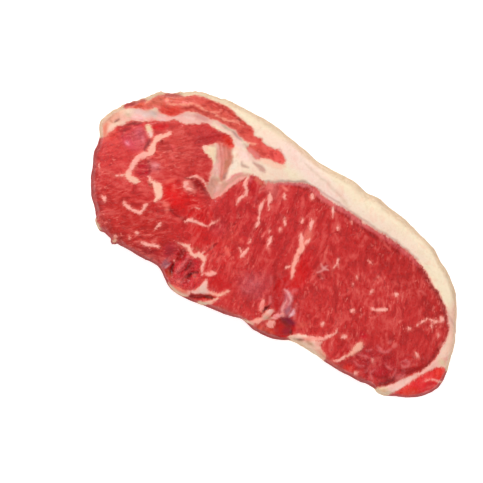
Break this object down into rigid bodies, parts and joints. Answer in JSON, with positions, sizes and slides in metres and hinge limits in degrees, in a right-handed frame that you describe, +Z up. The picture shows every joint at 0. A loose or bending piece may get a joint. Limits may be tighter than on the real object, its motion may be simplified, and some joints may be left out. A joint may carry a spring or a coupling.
{
  "type": "raw sirloin steak",
  "caption": "Raw boneless sirloin steak with a long marbled eye muscle, a thin strip muscle, a small corner muscle and a fat cap along one edge, lying flat.",
  "frame": {"origin": "centre of the bounding box in X and Y, on the flat lower cut face that the steak rests on", "axes": "+X along the slice towards the small corner muscle, +Y across the slice towards the fat cap, +Z up out of the upper cut face"},
  "size_m": [0.199, 0.0902, 0.022],
  "materials": {
    "raw_meat": "moist raw red meat with cream fat and salmon-pink marbling, satin with wet highlights"
  },
  "bodies": {
    "root": {"steak": "raw_meat"}
  },
  "joints": []
}
